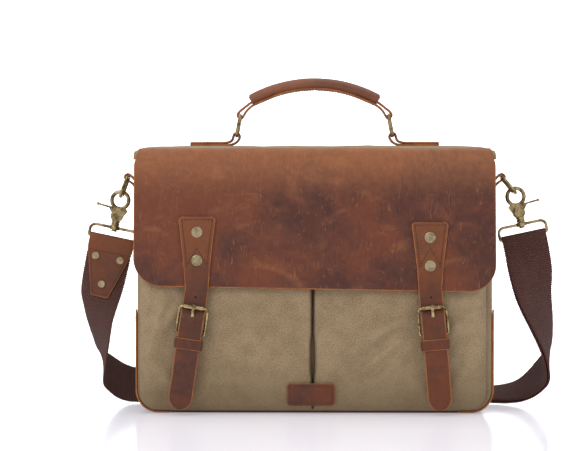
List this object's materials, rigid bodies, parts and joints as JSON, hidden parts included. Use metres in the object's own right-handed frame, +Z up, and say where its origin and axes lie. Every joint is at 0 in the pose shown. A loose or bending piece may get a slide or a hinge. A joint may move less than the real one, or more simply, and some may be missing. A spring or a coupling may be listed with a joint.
{
  "type": "messenger bag",
  "caption": "Canvas messenger bag with a leather front flap, buckled closure straps over snaps, two front pockets, a top handle on rings and a clip-on webbing shoulder strap.",
  "frame": {"origin": "middle of the underside of the base, between the corner guards", "axes": "+X to the right seen from the front, +Y from the front to the back, +Z up; the flap and its buckles face -Y"},
  "size_m": [0.5515, 0.1974, 0.3824],
  "materials": {
    "canvas": "khaki washed cotton canvas",
    "lining": "dark brown woven lining",
    "board": "stiff fibre board",
    "flap_leather": "waxed pull-up leather, reddish brown",
    "strap_leather": "waxed pull-up leather with raw edges",
    "grip_leather": "smooth brown leather",
    "core": "filler cord",
    "webbing": "ribbed dark brown cotton webbing",
    "rivet_brass": "aged pale brass",
    "antique_brass": "antique brass, dark in the recesses"
  },
  "bodies": {
    "root": {"back_panel": "canvas", "base_board": "board", "bottom_panel": "strap_leather", "front_panel": "canvas", "guard_left": "strap_leather", "guard_right": "strap_leather", "gusset": "canvas", "lining": "lining", "pocket_left": "canvas", "pocket_right": "canvas", "side_tab_left": "strap_leather", "side_tab_right": "strap_leather", "slit_patch": "strap_leather", "snap_base_left": "antique_brass", "snap_base_right": "antique_brass", "strap_end": "strap_leather", "strap_end_rivets": "rivet_brass", "strap_loop_left": "antique_brass", "strap_loop_right": "antique_brass", "strap_slider": "antique_brass", "webbing": "webbing"},
    "flap_top": {"flap_canvas": "canvas", "handle_tab_left": "strap_leather", "handle_tab_right": "strap_leather"},
    "flap_front": {"flap_leather": "flap_leather", "closure_upper_left": "strap_leather", "closure_upper_right": "strap_leather", "closure_rivets_left": "rivet_brass", "closure_rivets_right": "rivet_brass"},
    "handle_ring_left": {"handle_ring_left": "antique_brass"},
    "handle": {"handle_grip": "grip_leather", "handle_core": "core", "handle_strap": "strap_leather"},
    "handle_ring_right": {"handle_ring_right": "antique_brass"},
    "closure_left": {"closure_lower_left": "strap_leather", "buckle_frame_left": "antique_brass", "keeper_left": "strap_leather", "buckle_tab_left": "strap_leather", "snap_cap_left": "antique_brass"},
    "prong_left": {"prong_left": "antique_brass"},
    "roller_left": {"roller_left": "antique_brass"},
    "side_ring_left": {"side_ring_left": "antique_brass"},
    "hook_left": {"hook_body_left": "antique_brass", "trigger_rivet_left": "antique_brass", "trigger_spring_left": "antique_brass"},
    "trigger_left": {"hook_trigger_left": "antique_brass"},
    "closure_right": {"closure_lower_right": "strap_leather", "buckle_frame_right": "antique_brass", "keeper_right": "strap_leather", "buckle_tab_right": "strap_leather", "snap_cap_right": "antique_brass"},
    "prong_right": {"prong_right": "antique_brass"},
    "roller_right": {"roller_right": "antique_brass"},
    "side_ring_right": {"side_ring_right": "antique_brass"},
    "hook_right": {"hook_body_right": "antique_brass", "trigger_rivet_right": "antique_brass", "trigger_spring_right": "antique_brass"},
    "trigger_right": {"hook_trigger_right": "antique_brass"}
  },
  "joints": [
    {"name": "flap_back_fold", "type": "hinge", "parent": "root", "child": "flap_top", "pos_m": [0, 0.052, 0.297], "axis": [-1, 0, 0], "range_deg": [0, 100]},
    {"name": "flap_front_fold", "type": "hinge", "parent": "flap_top", "child": "flap_front", "pos_m": [0, -0.0585, 0.297], "axis": [-1, 0, 0], "range_deg": [0, 170]},
    {"name": "closure_left_lift", "type": "hinge", "parent": "flap_front", "child": "closure_left", "pos_m": [-0.1318, -0.07394, 0.14124], "axis": [-0.989, 0, 0.1478], "range_deg": [0, 75]},
    {"name": "prong_left_pivot", "type": "hinge", "parent": "closure_left", "child": "prong_left", "pos_m": [-0.13934, -0.07514, 0.0908], "axis": [0.989, 0, -0.1478], "range_deg": [0, 5]},
    {"name": "roller_left_spin", "type": "hinge", "parent": "closure_left", "child": "roller_left", "pos_m": [-0.13483, -0.07849, 0.12096], "axis": [-0.989, 0, 0.1478], "continuous": true},
    {"name": "closure_right_lift", "type": "hinge", "parent": "flap_front", "child": "closure_right", "pos_m": [0.1293, -0.07394, 0.14124], "axis": [-0.9962, 0, -0.0872], "range_deg": [0, 75]},
    {"name": "prong_right_pivot", "type": "hinge", "parent": "closure_right", "child": "prong_right", "pos_m": [0.13375, -0.07514, 0.09043], "axis": [0.9962, 0, 0.0872], "range_deg": [0, 5]},
    {"name": "roller_right_spin", "type": "hinge", "parent": "closure_right", "child": "roller_right", "pos_m": [0.13109, -0.07849, 0.12081], "axis": [-0.9962, 0, -0.0872], "continuous": true},
    {"name": "handle_sway", "type": "hinge", "parent": "flap_top", "child": "handle_ring_left", "pos_m": [-0.09, 0, 0.3154], "axis": [0, 1, 0], "range_deg": [-15, 15]},
    {"name": "handle_left_pivot", "type": "hinge", "parent": "handle_ring_left", "child": "handle", "pos_m": [-0.08563, 0, 0.339], "axis": [0, 1, 0], "range_deg": [-15.8, 15.8]},
    {"name": "handle_right_pivot", "type": "hinge", "parent": "handle", "child": "handle_ring_right", "pos_m": [0.08563, 0, 0.339], "axis": [0, 1, 0], "range_deg": [-15.8, 15.8]},
    {"name": "side_ring_left_swing", "type": "hinge", "parent": "root", "child": "side_ring_left", "pos_m": [-0.216, 0, 0.268], "axis": [0, 1, 0], "range_deg": [-6, 6]},
    {"name": "hook_left_swivel", "type": "hinge", "parent": "root", "child": "hook_left", "pos_m": [-0.22517, 0, 0.24095], "axis": [0.2079, 0, 0.9781], "range_deg": [-30, 30]},
    {"name": "trigger_left_press", "type": "hinge", "parent": "hook_left", "child": "trigger_left", "pos_m": [-0.22903, 0, 0.22275], "axis": [0, -1, 0], "range_deg": [0, 20], "stiffness_Nm_per_rad": 0.05, "springref_deg": -20.05},
    {"name": "side_ring_right_swing", "type": "hinge", "parent": "root", "child": "side_ring_right", "pos_m": [0.216, 0, 0.268], "axis": [0, 1, 0], "range_deg": [-3, 6]},
    {"name": "hook_right_swivel", "type": "hinge", "parent": "root", "child": "hook_right", "pos_m": [0.23238, 0, 0.24511], "axis": [-0.2079, 0, 0.9781], "range_deg": [-30, 30]},
    {"name": "trigger_right_press", "type": "hinge", "parent": "hook_right", "child": "trigger_right", "pos_m": [0.23625, 0, 0.22692], "axis": [0, 1, 0], "range_deg": [0, 20], "stiffness_Nm_per_rad": 0.05, "springref_deg": -20.05}
  ],
  "couplings": [
    {"joint": "handle_left_pivot", "follows": "handle_sway", "ratio": -1.0514},
    {"joint": "handle_right_pivot", "follows": "handle_sway", "ratio": 1.0514}
  ]
}
